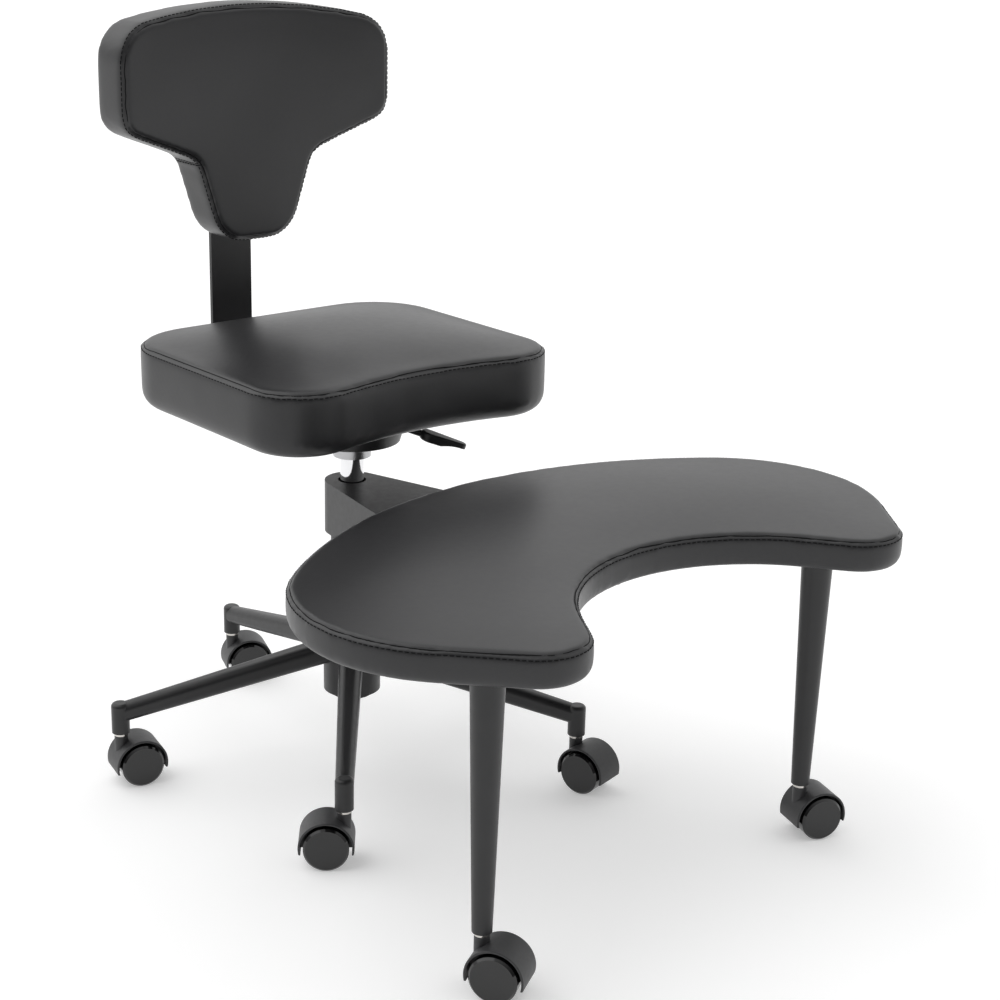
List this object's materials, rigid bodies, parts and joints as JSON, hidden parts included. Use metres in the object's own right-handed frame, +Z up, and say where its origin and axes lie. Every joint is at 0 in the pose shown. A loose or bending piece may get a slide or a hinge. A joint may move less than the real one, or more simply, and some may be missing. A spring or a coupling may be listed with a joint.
{
  "type": "cross-legged office chair",
  "caption": "Armless desk chair: padded seat, T-shaped back rest and gas lift on a castered star base, with a crescent leg platform that swings round the column.",
  "frame": {"origin": "on the floor, under the axis of the column", "axes": "+Z up, -Y the way the sitter faces, +X on the sitter's left"},
  "size_m": [0.7355, 0.9125, 0.876],
  "materials": {
    "upholstery": "satin coated fabric over foam",
    "plywood": "raw",
    "black_steel": "satin powder coat",
    "black_casting": "satin powder coat",
    "bright_chrome": "polished",
    "nickel": "bright plated",
    "steel": "ground",
    "zinc": "zinc plated",
    "bush_plastic": "matte",
    "lever_plastic": "fine grain",
    "hood_plastic": "satin",
    "wheel_plastic": "gloss",
    "rubber": "matte"
  },
  "bodies": {
    "base": {"star_base": "black_casting", "base_caster_stems": "nickel", "column_tube": "black_steel", "guide_bush": "bush_plastic", "thrust_bearing": "steel"},
    "piston": {"piston_rod": "steel", "piston_head": "steel", "rubber_buffer": "rubber", "retaining_clip": "steel"},
    "seat": {"pressure_tube": "bright_chrome", "taper_socket": "steel", "seat_plate": "black_steel", "seat_bolts": "zinc", "seat_board": "plywood", "seat_cushion": "upholstery", "back_bar": "black_steel", "back_bar_bolts": "zinc", "backrest_board": "plywood", "backrest_cushion": "upholstery"},
    "lever": {"lever_rod": "black_steel", "lever_handle": "lever_plastic"},
    "valve": {"valve_pin": "steel"},
    "platform": {"arm_strap": "black_steel", "arm_top_plate": "black_steel", "arm_sleeve": "steel", "arm_bushes": "bush_plastic", "platform_board": "plywood", "platform_cushion": "upholstery", "platform_leg_left": "black_steel", "platform_leg_right": "black_steel", "platform_screws": "zinc", "platform_caster_stems": "nickel"},
    "caster_1": {"caster_1_hood": "hood_plastic", "caster_1_axle": "steel"},
    "caster_1_left": {"caster_1_wheel_left": "wheel_plastic"},
    "caster_1_right": {"caster_1_wheel_right": "wheel_plastic"},
    "caster_2": {"caster_2_hood": "hood_plastic", "caster_2_axle": "steel"},
    "caster_2_left": {"caster_2_wheel_left": "wheel_plastic"},
    "caster_2_right": {"caster_2_wheel_right": "wheel_plastic"},
    "caster_3": {"caster_3_hood": "hood_plastic", "caster_3_axle": "steel"},
    "caster_3_left": {"caster_3_wheel_left": "wheel_plastic"},
    "caster_3_right": {"caster_3_wheel_right": "wheel_plastic"},
    "caster_4": {"caster_4_hood": "hood_plastic", "caster_4_axle": "steel"},
    "caster_4_left": {"caster_4_wheel_left": "wheel_plastic"},
    "caster_4_right": {"caster_4_wheel_right": "wheel_plastic"},
    "caster_5": {"caster_5_hood": "hood_plastic", "caster_5_axle": "steel"},
    "caster_5_left": {"caster_5_wheel_left": "wheel_plastic"},
    "caster_5_right": {"caster_5_wheel_right": "wheel_plastic"},
    "caster_6": {"caster_6_hood": "hood_plastic", "caster_6_axle": "steel"},
    "caster_6_left": {"caster_6_wheel_left": "wheel_plastic"},
    "caster_6_right": {"caster_6_wheel_right": "wheel_plastic"},
    "caster_7": {"caster_7_hood": "hood_plastic", "caster_7_axle": "steel"},
    "caster_7_left": {"caster_7_wheel_left": "wheel_plastic"},
    "caster_7_right": {"caster_7_wheel_right": "wheel_plastic"}
  },
  "joints": [
    {"name": "seat_swivel", "type": "hinge", "parent": "base", "child": "piston", "pos_m": [0, 0, 0], "axis": [0, 0, 1], "continuous": true},
    {"name": "seat_lift", "type": "slide", "parent": "piston", "child": "seat", "axis": [0, 0, 1], "range_m": [-0.015, 0.095]},
    {"name": "lever_pull", "type": "hinge", "parent": "seat", "child": "lever", "pos_m": [0.02516, -0.01634, 0.4185], "axis": [-0.5446, -0.8387, 0], "range_deg": [0, 8], "stiffness_Nm_per_rad": 2, "springref_deg": -5.73},
    {"name": "valve_press", "type": "slide", "parent": "seat", "child": "valve", "axis": [0, 0, -1], "range_m": [0, 0.005]},
    {"name": "platform_swing", "type": "hinge", "parent": "base", "child": "platform", "pos_m": [0, 0, 0], "axis": [0, 0, 1], "continuous": true},
    {"name": "caster_1_swivel", "type": "hinge", "parent": "base", "child": "caster_1", "pos_m": [-0.17239, -0.22064, 0.0637], "axis": [0, 0, 1], "continuous": true},
    {"name": "caster_1_left_spin", "type": "hinge", "parent": "caster_1", "child": "caster_1_left", "pos_m": [-0.18736, -0.20894, 0.025], "axis": [0.6157, 0.788, 0], "continuous": true},
    {"name": "caster_1_right_spin", "type": "hinge", "parent": "caster_1", "child": "caster_1_right", "pos_m": [-0.18736, -0.20894, 0.025], "axis": [0.6157, 0.788, 0], "continuous": true},
    {"name": "caster_2_swivel", "type": "hinge", "parent": "base", "child": "caster_2", "pos_m": [0.15657, -0.23213, 0.0637], "axis": [0, 0, 1], "continuous": true},
    {"name": "caster_2_left_spin", "type": "hinge", "parent": "caster_2", "child": "caster_2_left", "pos_m": [0.16117, -0.25057, 0.025], "axis": [-0.9703, -0.2419, 0], "continuous": true},
    {"name": "caster_2_right_spin", "type": "hinge", "parent": "caster_2", "child": "caster_2_right", "pos_m": [0.16117, -0.25057, 0.025], "axis": [-0.9703, -0.2419, 0], "continuous": true},
    {"name": "caster_3_swivel", "type": "hinge", "parent": "base", "child": "caster_3", "pos_m": [0.26915, 0.07718, 0.0637], "axis": [0, 0, 1], "continuous": true},
    {"name": "caster_3_left_spin", "type": "hinge", "parent": "caster_3", "child": "caster_3_left", "pos_m": [0.28561, 0.06768, 0.025], "axis": [-0.5, -0.866, 0], "continuous": true},
    {"name": "caster_3_right_spin", "type": "hinge", "parent": "caster_3", "child": "caster_3_right", "pos_m": [0.28561, 0.06768, 0.025], "axis": [-0.5, -0.866, 0], "continuous": true},
    {"name": "caster_4_swivel", "type": "hinge", "parent": "base", "child": "caster_4", "pos_m": [0.00977, 0.27983, 0.0637], "axis": [0, 0, 1], "continuous": true},
    {"name": "caster_4_left_spin", "type": "hinge", "parent": "caster_4", "child": "caster_4_left", "pos_m": [0.02751, 0.27302, 0.025], "axis": [-0.3584, -0.9336, 0], "continuous": true},
    {"name": "caster_4_right_spin", "type": "hinge", "parent": "caster_4", "child": "caster_4_right", "pos_m": [0.02751, 0.27302, 0.025], "axis": [-0.3584, -0.9336, 0], "continuous": true},
    {"name": "caster_5_swivel", "type": "hinge", "parent": "base", "child": "caster_5", "pos_m": [-0.26311, 0.09577, 0.0637], "axis": [0, 0, 1], "continuous": true},
    {"name": "caster_5_left_spin", "type": "hinge", "parent": "caster_5", "child": "caster_5_left", "pos_m": [-0.2446, 0.09149, 0.025], "axis": [-0.225, -0.9744, 0], "continuous": true},
    {"name": "caster_5_right_spin", "type": "hinge", "parent": "caster_5", "child": "caster_5_right", "pos_m": [-0.2446, 0.09149, 0.025], "axis": [-0.225, -0.9744, 0], "continuous": true},
    {"name": "caster_6_swivel", "type": "hinge", "parent": "platform", "child": "caster_6", "pos_m": [0.26957, -0.48155, 0.0637], "axis": [0, 0, 1], "continuous": true},
    {"name": "caster_6_left_spin", "type": "hinge", "parent": "caster_6", "child": "caster_6_left", "pos_m": [0.28754, -0.48774, 0.025], "axis": [-0.3256, -0.9455, 0], "continuous": true},
    {"name": "caster_6_right_spin", "type": "hinge", "parent": "caster_6", "child": "caster_6_right", "pos_m": [0.28754, -0.48774, 0.025], "axis": [-0.3256, -0.9455, 0], "continuous": true},
    {"name": "caster_7_swivel", "type": "hinge", "parent": "platform", "child": "caster_7", "pos_m": [-0.21776, -0.50709, 0.0637], "axis": [0, 0, 1], "continuous": true},
    {"name": "caster_7_left_spin", "type": "hinge", "parent": "caster_7", "child": "caster_7_left", "pos_m": [-0.20797, -0.52338, 0.025], "axis": [-0.8572, -0.515, 0], "continuous": true},
    {"name": "caster_7_right_spin", "type": "hinge", "parent": "caster_7", "child": "caster_7_right", "pos_m": [-0.20797, -0.52338, 0.025], "axis": [-0.8572, -0.515, 0], "continuous": true}
  ],
  "couplings": [
    {"joint": "valve_press", "follows": "lever_pull", "m_per_rad": 0.033}
  ]
}
